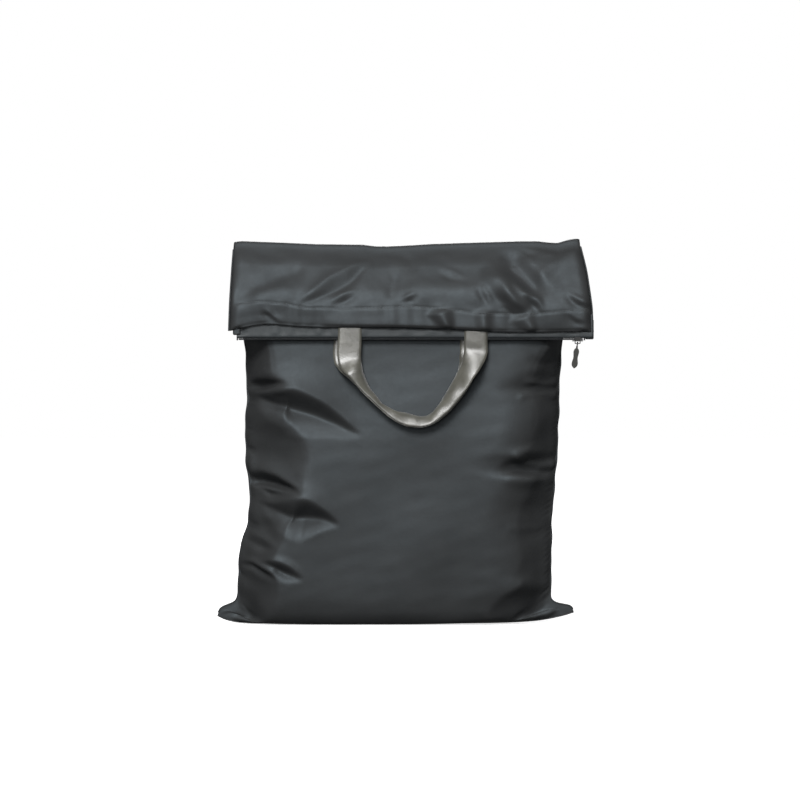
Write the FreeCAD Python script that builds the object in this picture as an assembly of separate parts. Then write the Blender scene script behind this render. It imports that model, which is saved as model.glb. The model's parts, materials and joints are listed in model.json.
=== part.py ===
"""Zipped nylon laundry bag, standing filled, with its mouth folded over to the front.

Millimetres. +Z is up and the front faces -Y. The origin is on the floor, in the middle of the
flattened base. Each function makes one sub-part, and main() writes each to parts/NODE.step.
"""

import math
import os

import FreeCAD
import Part

V = FreeCAD.Vector

# Fabric and webbing thicknesses, and the gap that keeps neighbours apart.
PANEL_T = 1.0
LAYER_T = 0.8
FACING_T = 0.6
TAPE_T = 0.6
BINDING_T = 1.6
BINDING_W = 9.0
WEB_T = 1.4
LOOP_T = 1.6
WEB_W = 25.0
GAP = 0.1
SEAM_GAP = 1.2

# Filled body: height, half depth, left side and right side at each level.
STATIONS = [
    (0.0, 36.0, -168.0, 149.0),
    (12.0, 44.5, -173.0, 154.0),
    (45.0, 50.0, -174.0, 156.0),
    (85.0, 52.0, -170.0, 156.5),
    (125.0, 52.5, -161.0, 158.0),
    (170.0, 51.5, -165.0, 161.5),
    (225.0, 48.0, -165.0, 164.5),
    (270.0, 43.0, -165.0, 165.0),
    (300.0, 37.5, -166.5, 168.0),
    (335.0, 31.0, -172.0, 175.0),
    (365.0, 18.0, -176.0, 180.0),
    (393.0, 3.6, -179.0, 184.0),
]
LEFT, RIGHT = 2, 3  # columns of STATIONS
BOXINESS = 2.7  # exponent of the body's cross-section: 2 is an ellipse, more is squarer
RING_POINTS = 32
ROOM = 210.0  # half width of blanks that are cut to the outline afterwards

# Flat bottom corners: root x, tip x, root low and high z, tip low and high z.
EAR_LEFT = (-166.0, -193.4, 5.0, 27.0, 6.0, 20.0)
EAR_RIGHT = (148.0, 176.5, 8.0, 25.0, 14.0, 24.0)
EAR_TIP_L = 6.0
BOTTOM_BINDING_X = (-150.0, 132.0)

# Fold line of the mouth, and the flap that hangs from it.
FOLD_Y, FOLD_Z = -4.0, 400.0
FOLD_START = math.radians(30)
INNER_FOLD_R, OUTER_FOLD_R = 3.0, 5.8
HEM_TOP_Z, HEM_EDGE_Z = 331.0, 309.5
FACING_EDGE, FACING_TOP, FACING_SIDE = 0.5, 1.0, 2.0  # how far the hem facing stops short
FLAP_TOP_X = (-178.0, 185.0)
FLAP_EDGE_X = (-181.0, 197.5)

# Zip ridge at the mouth: two tapes hang side by side and meet at the coils.
ZIP_Y = -49.0
TAPE_HALF = 3.2
TAPE_TOP_Z = 325.0
TAPE_EDGE_Z = 300.3
TAPE_BEND_R = 1.4
COIL_H, COIL_W, COIL_HALF_GAP, COIL_ROUND_R = 2.0, 2.1, 0.45, 0.6
STOP_LENGTH, STOP_WRAP = 1.4, 0.2
TAB_LENGTH, TAB_WRAP, TAB_ROUND_R = 8.0, 0.6, 0.8

# Slider, at the closed right end of the zip.
SLIDER_X, SLIDER_L = 181.7, 11.0
SLIDER_HALF_W, SLIDER_CORNER_R = 4.5, 2.4
PLATE_T = 1.0
RUN = 0.2  # running clearance between the slider and the zip
FLANGE_SHORT, FLANGE_RISE = 2.5, 1.2
FIN_T, FIN_SHORT = 0.6, 3.0
BRIDGE_HALF_L, BRIDGE_HALF_W, BRIDGE_T, BRIDGE_GAP = 3.0, 1.2, 0.8, 1.9
BRIDGE_ROUND_R = 0.7

# Pull: a metal loop on the bridge, and a moulded grip over its stem.
PULL_REST_DEG = 7.7
PULL_ROD_R, EYE_HALF_W, EYE_ARM_T, EYE_L = 0.55, 2.4, 0.9, 4.8
STEM_HALF_W, STEM_HALF_T, STEM_L = 0.9, 0.6, 16.0
GRIP_TOP, GRIP_LENGTH, GRIP_HALF_T = 5.6, 22.0, 1.8
GRIP_SHOULDER_R, GRIP_WAIST_R, GRIP_END_R = 2.7, 2.2, 3.1

# Handles: the left edge of each strap where it leaves the mouth.
STRAP_LEFT_X = (-67.6, 63.4)
HANDLE_BOTTOM_Z = 208.0
LOOP_ARC_Z = 268.0
LOOP_FOOT = 12.0  # height of the strap at the loop's lowest point, where it stands on edge
OUTER_LOOP_Y, OUTER_LOOP_TOP_Z = -54.8, 306.2
INNER_LOOP_Y, INNER_LOOP_TOP_Z = -43.3, 291.3
STRAP_ROUND_R = 0.79  # nearly half of LOOP_T, so that the straps end in a round edge
INNER_LOOP_LEAN = math.radians(5.7)
BARTACK_T, BARTACK_Z = 0.5, (320.0, 322.0)


def box(x0, x1, y0, y1, z0, z1):
    return Part.makeBox(x1 - x0, y1 - y0, z1 - z0, V(x0, y0, z0))


def ring(z, half_depth, left, right):
    """Closed rounded cross-section of the body at one height."""
    centre, half_width = (left + right) / 2, (right - left) / 2
    power = 2 / BOXINESS
    points = []
    for i in range(RING_POINTS):
        angle = 2 * math.pi * i / RING_POINTS
        c, s = math.cos(angle), math.sin(angle)
        x = centre + half_width * math.copysign(abs(c) ** power, c)
        y = half_depth * math.copysign(abs(s) ** power, s)
        points.append(V(x, y, z))
    curve = Part.BSplineCurve()
    curve.interpolate(Points=points, PeriodicFlag=True)
    return Part.Wire([curve.toShape()])


def body_loft(inset, bottom):
    """The body's outside, or with an inset its inside."""
    rings = []
    for z, depth, left, right in STATIONS:
        rings.append(ring(max(z, bottom), depth - inset, left + inset, right - inset))
    return Part.makeLoft(rings, True, False)


def side_curve(column, inset):
    """The left or right side of the body in the XZ plane, moved along X by inset."""
    points = [V(station[column] + inset, 0, station[0]) for station in STATIONS[1:]]
    curve = Part.BSplineCurve()
    curve.interpolate(points)
    return curve.toShape()


def ear(corner, y0, y1):
    """A flat bottom corner that sticks out past the filled body."""
    root_x, tip_x, low_z, high_z, tip_low_z, tip_high_z = corner
    shoulder_x = tip_x - math.copysign(EAR_TIP_L, tip_x - root_x)
    top = Part.LineSegment(V(root_x, y0, high_z), V(shoulder_x, y0, tip_high_z)).toShape()
    tip = Part.Arc(
        V(shoulder_x, y0, tip_high_z),
        V(tip_x, y0, (tip_low_z + tip_high_z) / 2),
        V(shoulder_x, y0, tip_low_z),
    ).toShape()
    foot = Part.LineSegment(V(shoulder_x, y0, tip_low_z), V(root_x, y0, low_z)).toShape()
    root = Part.LineSegment(V(root_x, y0, low_z), V(root_x, y0, high_z)).toShape()
    return Part.Face(Part.Wire([top, tip, foot, root])).extrude(V(0, y1 - y0, 0))


def body_shell():
    """Front and back panels of the bag: one hollow skin, open at the fold, cut along the seams."""
    outside = body_loft(0.0, 0.0)
    inside = body_loft(PANEL_T, PANEL_T)
    skin = outside.cut(inside)
    halves = []
    for side in (-1, 1):
        y0, y1 = sorted((0, side * ROOM))
        half = skin.common(box(-ROOM, ROOM, y0, y1, -1, FOLD_Z))
        for corner in (EAR_LEFT, EAR_RIGHT):
            half = half.fuse(ear(corner, *sorted((0, side * PANEL_T))).cut(inside))
        halves.append(half.removeSplitter())
    return halves


def side_seam_binding(column, inward):
    """Bound seam allowance inside one side of the body; inward is +1 on the left, -1 on the right."""
    near = side_curve(column, inward * (PANEL_T + SEAM_GAP))
    far = side_curve(column, inward * (PANEL_T + SEAM_GAP + BINDING_W))
    caps = []
    for index in (0, -1):
        caps.append(Part.LineSegment(near.Vertexes[index].Point, far.Vertexes[index].Point).toShape())
    strip = Part.Face(Part.Wire(Part.__sortEdges__([near, far] + caps))).extrude(V(0, BINDING_T, 0))
    strip.translate(V(0, -BINDING_T / 2, 0))
    low_z, high_z = STATIONS[2][0], STATIONS[-2][0]
    return strip.common(box(-ROOM, ROOM, -BINDING_T, BINDING_T, low_z, high_z))


def bottom_seam_binding():
    """Bound seam allowance that stands up from the base inside the body."""
    z0 = PANEL_T + GAP
    x0, x1 = BOTTOM_BINDING_X
    return box(x0, x1, -BINDING_T / 2, BINDING_T / 2, z0, z0 + BINDING_W)


def trim_to_flap(shape, inset=0.0):
    """Cuts a blank to the flap's slightly flared outline."""
    top_z = FOLD_Z + 2 * OUTER_FOLD_R
    drop = (top_z - HEM_EDGE_Z) / (FOLD_Z - HEM_EDGE_Z)
    left_top = FLAP_EDGE_X[0] + (FLAP_TOP_X[0] - FLAP_EDGE_X[0]) * drop
    right_top = FLAP_EDGE_X[1] + (FLAP_TOP_X[1] - FLAP_EDGE_X[1]) * drop
    corners = [
        V(FLAP_EDGE_X[0] + inset, -ROOM, HEM_EDGE_Z),
        V(FLAP_EDGE_X[1] - inset, -ROOM, HEM_EDGE_Z),
        V(right_top - inset, -ROOM, top_z),
        V(left_top + inset, -ROOM, top_z),
    ]
    outline = Part.Face(Part.makePolygon(corners + corners[:1]))
    return shape.common(outline.extrude(V(0, 2 * ROOM, 0)))


def prism_across(wire):
    """Blank with the given outline in the YZ plane, wider than the flap."""
    prism = Part.Face(wire).extrude(V(2 * ROOM, 0, 0))
    prism.translate(V(-ROOM, 0, 0))
    return prism


def tangent_angle(radius, y, z):
    """Angle on the fold's circle from which a straight line runs to (y, z)."""
    dy, dz = y - FOLD_Y, z - FOLD_Z
    return math.atan2(dz, dy) % (2 * math.pi) - math.acos(radius / math.hypot(dy, dz))


def on_fold(radius, angle):
    return V(0, FOLD_Y + radius * math.cos(angle), FOLD_Z + radius * math.sin(angle))


def layer_outline(radius, y):
    """Edges of one face of a flap layer: round the fold, down the slope, down the hem."""
    end = tangent_angle(radius, y, HEM_TOP_Z)
    middle = (FOLD_START + end) / 2
    bend, edge = V(0, y, HEM_TOP_Z), V(0, y, HEM_EDGE_Z)
    arc = Part.Arc(on_fold(radius, FOLD_START), on_fold(radius, middle), on_fold(radius, end))
    slope = Part.LineSegment(on_fold(radius, end), bend)
    hem = Part.LineSegment(bend, edge)
    return [arc.toShape(), slope.toShape(), hem.toShape()], on_fold(radius, FOLD_START), edge


def flap_layer(radius, back_y):
    """One of the two fabric layers of the folded mouth."""
    inner, inner_start, inner_end = layer_outline(radius, back_y)
    outer, outer_start, outer_end = layer_outline(radius + LAYER_T, back_y - LAYER_T)
    start = Part.LineSegment(inner_start, outer_start).toShape()
    end = Part.LineSegment(inner_end, outer_end).toShape()
    wire = Part.Wire(Part.__sortEdges__(inner + outer + [start, end]))
    return trim_to_flap(prism_across(wire))


OUTER_BACK_Y = ZIP_Y - TAPE_HALF - GAP - WEB_T - GAP - FACING_T - GAP
INNER_BACK_Y = INNER_LOOP_Y + LOOP_T / 2 + GAP + FACING_T + GAP + LAYER_T


def flap_outer_layer():
    return flap_layer(OUTER_FOLD_R, OUTER_BACK_Y)


def flap_inner_layer():
    return flap_layer(INNER_FOLD_R, INNER_BACK_Y)


def hem_facing(y0):
    """Hem allowance turned to the inside of one layer."""
    z0, z1 = HEM_EDGE_Z + FACING_EDGE, HEM_TOP_Z - FACING_TOP
    return trim_to_flap(box(-ROOM, ROOM, y0, y0 + FACING_T, z0, z1), FACING_SIDE)


def outer_hem_facing():
    return hem_facing(OUTER_BACK_Y + GAP)


def inner_hem_facing():
    return hem_facing(INNER_BACK_Y - LAYER_T - GAP - FACING_T)


def flap_side_binding(left):
    """Side seam that closes the flap between its two layers, above the hem."""
    near_end = tangent_angle(INNER_FOLD_R + LAYER_T, INNER_BACK_Y - LAYER_T, HEM_TOP_Z)
    far_end = tangent_angle(OUTER_FOLD_R, OUTER_BACK_Y, HEM_TOP_Z)
    near_top = on_fold(INNER_FOLD_R + LAYER_T + GAP, near_end)
    far_top = on_fold(OUTER_FOLD_R - GAP, far_end)
    near_low = V(0, INNER_BACK_Y - LAYER_T - GAP, HEM_TOP_Z)
    far_low = V(0, OUTER_BACK_Y + GAP, HEM_TOP_Z)
    prism = prism_across(Part.makePolygon([near_top, far_top, far_low, near_low, near_top]))
    wall = trim_to_flap(prism).cut(trim_to_flap(prism, BINDING_T))
    x0, x1 = (-ROOM, 0) if left else (0, ROOM)
    return wall.common(box(x0, x1, -ROOM, 0, HEM_TOP_Z + FACING_TOP, FOLD_Z))


ZIP_X0 = FLAP_EDGE_X[0] + TAB_LENGTH
ZIP_X1 = FLAP_EDGE_X[1] - TAB_LENGTH


def mirror_to_back(shape):
    """The matching piece on the body's side of the zip's middle plane."""
    return shape.mirror(V(0, ZIP_Y, 0), V(0, 1, 0))


def zip_tape_outer():
    """Woven tape: hangs from the hem and turns in under the mouth to carry its coil."""
    y0 = ZIP_Y - TAPE_HALF
    upright = box(ZIP_X0, ZIP_X1, y0, y0 + TAPE_T, TAPE_EDGE_Z, TAPE_TOP_Z)
    lip = box(ZIP_X0, ZIP_X1, y0, ZIP_Y - COIL_HALF_GAP, TAPE_EDGE_Z, TAPE_EDGE_Z + TAPE_T)
    tape = upright.fuse(lip).removeSplitter()
    bend = V((ZIP_X0 + ZIP_X1) / 2, y0, TAPE_EDGE_Z)
    return tape.makeFillet(TAPE_BEND_R, [e for e in tape.Edges if e.CenterOfMass.isEqual(bend, 0.01)])


def low_edges(shape, direction):
    """Straight edges along direction at the bottom of a box."""
    low_z = shape.BoundBox.ZMin + 0.01
    along = [e for e in shape.Edges if abs(e.tangentAt(e.FirstParameter).dot(direction)) > 0.99]
    return [e for e in along if e.CenterOfMass.z < low_z]


def coil_bar(x0, x1, grow=0.0):
    y1 = ZIP_Y - COIL_HALF_GAP + grow / 2
    return box(x0, x1, y1 - COIL_W - grow, y1, TAPE_EDGE_Z - COIL_H - grow, TAPE_EDGE_Z)


def zip_coil_outer():
    """One row of coil teeth, as a bar with rounded lower edges."""
    bar = coil_bar(ZIP_X0 + STOP_LENGTH + GAP, ZIP_X1 - STOP_LENGTH - GAP)
    return bar.makeFillet(COIL_ROUND_R, low_edges(bar, V(1, 0, 0)))


def zip_top_stops():
    """A small crimp on the end of each coil row, at the closed end."""
    stop = coil_bar(ZIP_X1 - STOP_LENGTH, ZIP_X1, STOP_WRAP)
    return Part.makeCompound([stop, mirror_to_back(stop)])


def zip_bottom_stop():
    """The wide crimp that holds both coil rows together at the other end."""
    half_w = COIL_HALF_GAP + COIL_W + STOP_WRAP
    z0 = TAPE_EDGE_Z - COIL_H - STOP_WRAP
    return box(ZIP_X0, ZIP_X0 + STOP_LENGTH, ZIP_Y - half_w, ZIP_Y + half_w, z0, TAPE_EDGE_Z)


def zip_end_tab(x0, x1):
    """Fabric tab that covers one end of the zip."""
    half_w = TAPE_HALF + TAB_WRAP
    z0 = TAPE_EDGE_Z - 2 * TAB_WRAP
    tab = box(x0, x1, ZIP_Y - half_w, ZIP_Y + half_w, z0, TAPE_TOP_Z)
    low = low_edges(tab, V(1, 0, 0)) + low_edges(tab, V(0, 1, 0))
    return tab.makeFillet(TAB_ROUND_R, low)


def slider_body():
    """Channel that hugs the zip ridge: lower plate, two side flanges, fin and inner plate."""
    x0, x1 = SLIDER_X - SLIDER_L / 2, SLIDER_X + SLIDER_L / 2
    coil_low = TAPE_EDGE_Z - COIL_H
    plate_top = coil_low - RUN
    plate_low = plate_top - PLATE_T
    y0, y1 = ZIP_Y - SLIDER_HALF_W, ZIP_Y + SLIDER_HALF_W
    plate = box(x0, x1, y0, y1, plate_low, plate_top)
    corners = [e for e in plate.Edges if abs(e.Length - PLATE_T) < 0.01]
    plate = plate.makeFillet(SLIDER_CORNER_R, corners)
    flange_x0, flange_x1 = x0 + FLANGE_SHORT, x1 - FLANGE_SHORT
    flange_t = SLIDER_HALF_W - TAPE_HALF - 2 * RUN
    flange_top = TAPE_EDGE_Z + FLANGE_RISE
    front = box(flange_x0, flange_x1, y0, y0 + flange_t, plate_low, flange_top)
    back = box(flange_x0, flange_x1, y1 - flange_t, y1, plate_low, flange_top)
    inner_z0 = TAPE_EDGE_Z + TAPE_T + RUN
    inner_z1 = inner_z0 + PLATE_T
    half_fin = FIN_T / 2
    fin = box(x0 + FIN_SHORT, x1 - FIN_SHORT, ZIP_Y - half_fin, ZIP_Y + half_fin, plate_low, inner_z1)
    half_inner = TAPE_HALF - TAPE_T - 2 * RUN
    inner = box(x0 + PLATE_T, x1 - PLATE_T, ZIP_Y - half_inner, ZIP_Y + half_inner, inner_z0, inner_z1)
    return plate.fuse([front, back, fin, inner]).removeSplitter()


def bridge_levels():
    """Heights of the slider's lower face and of the bridge's inner and outer faces."""
    plate_low = TAPE_EDGE_Z - COIL_H - RUN - PLATE_T
    return plate_low, plate_low - BRIDGE_GAP, plate_low - BRIDGE_GAP - BRIDGE_T


def slider_bridge():
    """Arch under the slider that holds the pull."""
    plate_low, inside, outside = bridge_levels()
    half_l, half_w = BRIDGE_HALF_L, BRIDGE_HALF_W
    block = box(
        SLIDER_X - half_l, SLIDER_X + half_l, ZIP_Y - half_w, ZIP_Y + half_w, outside, plate_low
    )
    block = block.makeFillet(BRIDGE_ROUND_R, low_edges(block, V(0, 1, 0)))
    hole_l, hole_w = half_l - BRIDGE_T, 2 * half_w
    hole = box(
        SLIDER_X - hole_l, SLIDER_X + hole_l, ZIP_Y - hole_w, ZIP_Y + hole_w, inside, plate_low
    )
    return block.cut(hole)


def pull_axis_z():
    plate_low, inside, _ = bridge_levels()
    return (plate_low + inside) / 2


def hang_pull(shape):
    """Turns a piece of the pull from straight down to its rest lean."""
    shape.rotate(V(SLIDER_X, ZIP_Y, pull_axis_z()), V(0, 1, 0), PULL_REST_DEG)
    return shape


def pull_tab():
    """Metal loop whose top rod runs under the bridge, with a flat stem into the grip."""
    z = pull_axis_z()
    y0, y1 = ZIP_Y - EYE_HALF_W, ZIP_Y + EYE_HALF_W
    rod = Part.makeCylinder(PULL_ROD_R, y1 - y0, V(SLIDER_X, y0, z), V(0, 1, 0))
    x0, x1 = SLIDER_X - PULL_ROD_R, SLIDER_X + PULL_ROD_R
    front_arm = box(x0, x1, y0, y0 + EYE_ARM_T, z - EYE_L, z)
    back_arm = box(x0, x1, y1 - EYE_ARM_T, y1, z - EYE_L, z)
    foot = box(x0, x1, y0, y1, z - EYE_L, z - EYE_L + EYE_ARM_T)
    stem = box(
        SLIDER_X - STEM_HALF_W, SLIDER_X + STEM_HALF_W, ZIP_Y - STEM_HALF_T, ZIP_Y + STEM_HALF_T,
        z - STEM_L, z - EYE_L + EYE_ARM_T / 2,
    )
    return hang_pull(rod.fuse([front_arm, back_arm, foot, stem]).removeSplitter())


def pull_grip():
    """Moulded grip over the stem: round shoulders, a waist and a fuller end."""
    top = pull_axis_z() - GRIP_TOP
    low = top - GRIP_LENGTH
    right = Part.BSplineCurve()
    right.interpolate([
        V(SLIDER_X, 0, top),
        V(SLIDER_X + GRIP_SHOULDER_R, 0, top - 1.3 * GRIP_SHOULDER_R),
        V(SLIDER_X + GRIP_WAIST_R, 0, top - 0.48 * GRIP_LENGTH),
        V(SLIDER_X + GRIP_END_R, 0, low + 1.45 * GRIP_END_R),
        V(SLIDER_X, 0, low),
    ])
    right = right.toShape()
    left = right.mirror(V(SLIDER_X, 0, 0), V(1, 0, 0))
    face = Part.Face(Part.Wire([right, left]))
    face.translate(V(0, ZIP_Y - GRIP_HALF_T, 0))
    grip = face.extrude(V(0, 2 * GRIP_HALF_T, 0))
    socket = box(
        SLIDER_X - STEM_HALF_W, SLIDER_X + STEM_HALF_W, ZIP_Y - STEM_HALF_T, ZIP_Y + STEM_HALF_T,
        pull_axis_z() - STEM_L, top + GRIP_SHOULDER_R,
    )
    return hang_pull(grip.cut(socket))


def handle_ends(y0, low_z):
    """The two sewn ends of one handle, caught between hem and tape."""
    ends = []
    for x0 in STRAP_LEFT_X:
        ends.append(box(x0, x0 + WEB_W, y0, y0 + WEB_T, low_z, TAPE_TOP_Z - 1))
    return Part.makeCompound(ends)


def outer_handle_ends():
    return handle_ends(ZIP_Y - TAPE_HALF - GAP - WEB_T, OUTER_LOOP_TOP_Z + 3 * GAP)


def inner_handle_ends():
    return handle_ends(INNER_LOOP_Y - WEB_T / 2, INNER_LOOP_TOP_Z + WEB_T)


def bartacks(y0):
    """Dense thread bars that hold the two ends of one handle to the zip tape."""
    bars = []
    for x0 in STRAP_LEFT_X:
        bars.append(box(x0 + 1, x0 + WEB_W - 1, y0, y0 + BARTACK_T, *BARTACK_Z))
    return Part.makeCompound(bars)


def outer_handle_bartacks():
    return bartacks(ZIP_Y - TAPE_HALF + TAPE_T)


def inner_handle_bartacks():
    return bartacks(ZIP_Y + TAPE_HALF - TAPE_T - BARTACK_T)


def loop_outline(top_z, outset, drop):
    """U outline in the XZ plane: two straight sides over half an ellipse."""
    centre = (STRAP_LEFT_X[0] + STRAP_LEFT_X[1] + WEB_W) / 2
    half = (STRAP_LEFT_X[1] - STRAP_LEFT_X[0]) / 2 + outset
    x0, x1 = centre - half, centre + half
    middle = V(centre, 0, LOOP_ARC_Z)
    ellipse = Part.Ellipse(V(x1, 0, LOOP_ARC_Z), V(centre, 0, LOOP_ARC_Z - drop), middle)
    edges = [Part.ArcOfEllipse(ellipse, 0, math.pi).toShape()]
    corners = [V(x0, 0, LOOP_ARC_Z), V(x0, 0, top_z), V(x1, 0, top_z), V(x1, 0, LOOP_ARC_Z)]
    for a, b in zip(corners, corners[1:]):
        edges.append(Part.LineSegment(a, b).toShape())
    return Part.Face(Part.Wire(Part.__sortEdges__(edges)))


def handle_loop(y, top_z, lean):
    """The free part of one handle, hanging from its sewn ends."""
    drop = LOOP_ARC_Z - HANDLE_BOTTOM_Z
    outside = loop_outline(top_z, WEB_W / 2, drop)
    inside = loop_outline(top_z, -WEB_W / 2, drop - LOOP_FOOT)
    loop = outside.cut(inside).extrude(V(0, LOOP_T, 0))
    loop.translate(V(0, y - LOOP_T / 2, 0))
    top = [e for e in loop.Edges if e.CenterOfMass.z > top_z - 0.01 and e.Length > LOOP_T + 1]
    loop = loop.makeFillet(STRAP_ROUND_R, top)
    loop.rotate(V(0, y, top_z - STRAP_ROUND_R), V(1, 0, 0), -math.degrees(lean))
    return loop


def outer_handle_loop():
    return handle_loop(OUTER_LOOP_Y, OUTER_LOOP_TOP_Z, 0.0)


def inner_handle_loop():
    return handle_loop(INNER_LOOP_Y, INNER_LOOP_TOP_Z, INNER_LOOP_LEAN)


def main():
    front_panel, back_panel = body_shell()
    tape, coil = zip_tape_outer(), zip_coil_outer()
    nodes = {
        "front_panel": front_panel,
        "back_panel": back_panel,
        "left_seam_binding": side_seam_binding(LEFT, 1),
        "right_seam_binding": side_seam_binding(RIGHT, -1),
        "bottom_seam_binding": bottom_seam_binding(),
        "flap_outer_layer": flap_outer_layer(),
        "flap_inner_layer": flap_inner_layer(),
        "outer_hem_facing": outer_hem_facing(),
        "inner_hem_facing": inner_hem_facing(),
        "flap_left_seam_binding": flap_side_binding(True),
        "flap_right_seam_binding": flap_side_binding(False),
        "zip_tape_outer": tape,
        "zip_tape_inner": mirror_to_back(tape),
        "zip_coil_outer": coil,
        "zip_coil_inner": mirror_to_back(coil),
        "zip_top_stops": zip_top_stops(),
        "zip_bottom_stop": zip_bottom_stop(),
        "zip_end_tab_left": zip_end_tab(FLAP_EDGE_X[0], ZIP_X0),
        "zip_end_tab_right": zip_end_tab(ZIP_X1, FLAP_EDGE_X[1]),
        "slider_body": slider_body(),
        "slider_bridge": slider_bridge(),
        "pull_tab": pull_tab(),
        "pull_grip": pull_grip(),
        "outer_handle_ends": outer_handle_ends(),
        "inner_handle_ends": inner_handle_ends(),
        "outer_handle_bartacks": outer_handle_bartacks(),
        "inner_handle_bartacks": inner_handle_bartacks(),
        "outer_handle_loop": outer_handle_loop(),
        "inner_handle_loop": inner_handle_loop(),
    }
    os.makedirs("parts", exist_ok=True)
    for name, shape in nodes.items():
        shape.exportStep(os.path.join("parts", name + ".step"))


main()
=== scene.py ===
"""Looks of the laundry bag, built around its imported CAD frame.

Shapes are worked out in millimetres in the row frame and turned into metres when a mesh is made.
The filled body is a cloth simulation over the shape of its contents; the folded mouth, the hem,
the zip and the webbing handles are built in mesh code.
"""

import json
import math

import bpy
import numpy as np
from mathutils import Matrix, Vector


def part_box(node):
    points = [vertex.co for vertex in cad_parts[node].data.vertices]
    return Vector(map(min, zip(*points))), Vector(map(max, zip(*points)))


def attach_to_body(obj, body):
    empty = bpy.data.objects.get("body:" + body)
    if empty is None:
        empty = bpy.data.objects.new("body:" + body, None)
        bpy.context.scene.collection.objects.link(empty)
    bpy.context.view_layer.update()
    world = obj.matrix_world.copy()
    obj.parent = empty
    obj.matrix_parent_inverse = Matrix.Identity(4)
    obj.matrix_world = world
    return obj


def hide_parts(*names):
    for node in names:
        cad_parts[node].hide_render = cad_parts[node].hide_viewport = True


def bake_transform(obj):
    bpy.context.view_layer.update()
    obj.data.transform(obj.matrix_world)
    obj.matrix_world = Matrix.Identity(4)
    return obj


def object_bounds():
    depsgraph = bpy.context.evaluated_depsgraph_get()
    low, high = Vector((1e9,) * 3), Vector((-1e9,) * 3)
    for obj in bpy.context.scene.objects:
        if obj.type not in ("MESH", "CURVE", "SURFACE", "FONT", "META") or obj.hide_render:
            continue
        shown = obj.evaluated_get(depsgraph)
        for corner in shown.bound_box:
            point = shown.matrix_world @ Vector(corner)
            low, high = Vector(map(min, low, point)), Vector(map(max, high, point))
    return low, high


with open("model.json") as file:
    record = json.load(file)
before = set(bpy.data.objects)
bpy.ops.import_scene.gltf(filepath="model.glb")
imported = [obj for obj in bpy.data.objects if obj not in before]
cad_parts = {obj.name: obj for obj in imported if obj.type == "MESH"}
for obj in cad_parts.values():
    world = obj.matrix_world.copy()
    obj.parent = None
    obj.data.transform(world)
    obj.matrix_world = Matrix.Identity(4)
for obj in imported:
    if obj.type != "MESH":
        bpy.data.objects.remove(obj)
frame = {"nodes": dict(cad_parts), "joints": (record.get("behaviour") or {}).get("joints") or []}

CAD_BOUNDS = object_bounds()

# Sizes are in millimetres unless a comment says otherwise.
LAYER_T = 0.5  # shown thickness of one nylon layer
WEB_T, WEB_W = 1.4, 25  # thickness and width of the webbing
TAPE_T = 0.45
BODY_SEAM_R, FLAP_SEAM_R = 0.75, 1.15  # radii of the bound seam edges
STITCH_LENGTH, STITCH_PITCH, THREAD_R = 2.4, 3.4, 0.28
SOFT_EDGE = 0.00018  # bevel of the CAD pieces shown as they are, in metres
FACET = 1.1  # half width of a crease's steep facet, in crease widths
BODY_COLUMNS, BODY_ROWS = 231, 271
FLAP_COLUMNS, FLAP_ROWS = 201, 96
LOOP_STATIONS = 240  # sections along a handle
SIMULATION_STEPS, PUSH = 200, 0.015  # push out by the contents in each step
SLACK = 1.1  # how far the cloth may leave its creases
FLOOR_R = 40000
CAMERA_PLACE = (-0.0031, 0.236)  # x and height, in metres


# ---------- numbers and curves

def box_mm(node):
    """Lowest and highest corner of a CAD node, in millimetres."""
    low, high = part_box(node)
    return np.array(low) * 1000, np.array(high) * 1000


def smoothstep(t):
    t = np.clip(t, 0.0, 1.0)
    return t * t * (3 - 2 * t)


def read_table(table, at):
    """Value between the rows of a two-column table."""
    return np.interp(at, *np.transpose(table))


def smooth_line(values, passes):
    """Rounds off a sampled line or polyline, end points kept."""
    values = np.array(values, float)
    for _ in range(passes):
        values[1:-1] = (values[:-2] + 2 * values[1:-1] + values[2:]) / 4
    return values


def unit(vectors):
    """Vectors of length 1."""
    return vectors / np.linalg.norm(vectors, axis=-1, keepdims=True)


def lengths_along(points):
    """Distance along a polyline at each of its points."""
    steps = np.linalg.norm(np.diff(points, axis=0), axis=1)
    return np.concatenate([[0], np.cumsum(steps)])


def resample(points, count):
    """Points evenly spaced along a polyline."""
    points = np.array(points, float)
    along = lengths_along(points)
    at = np.linspace(0, along[-1], count)
    return np.stack([np.interp(at, along, points[:, k]) for k in range(points.shape[1])], axis=1)


def rounded(points, count, passes):
    """A smooth curve through or near the given points."""
    dense = resample(points, count * 4)
    return resample(smooth_line(dense, passes), count)


def wander(x, z, shortest, longest, waves, seed):
    """Smooth uneven field between about -1 and 1, from sine waves in all directions."""
    rng = np.random.default_rng(seed)
    field = np.zeros_like(x)
    for _ in range(waves):
        length = shortest * (longest / shortest) ** rng.random()
        turn, phase = rng.random() * math.pi, rng.random() * 2 * math.pi
        k = 2 * math.pi / length
        field += np.sin(k * (x * math.cos(turn) + z * math.sin(turn)) + phase)
    return field / math.sqrt(waves)


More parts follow.
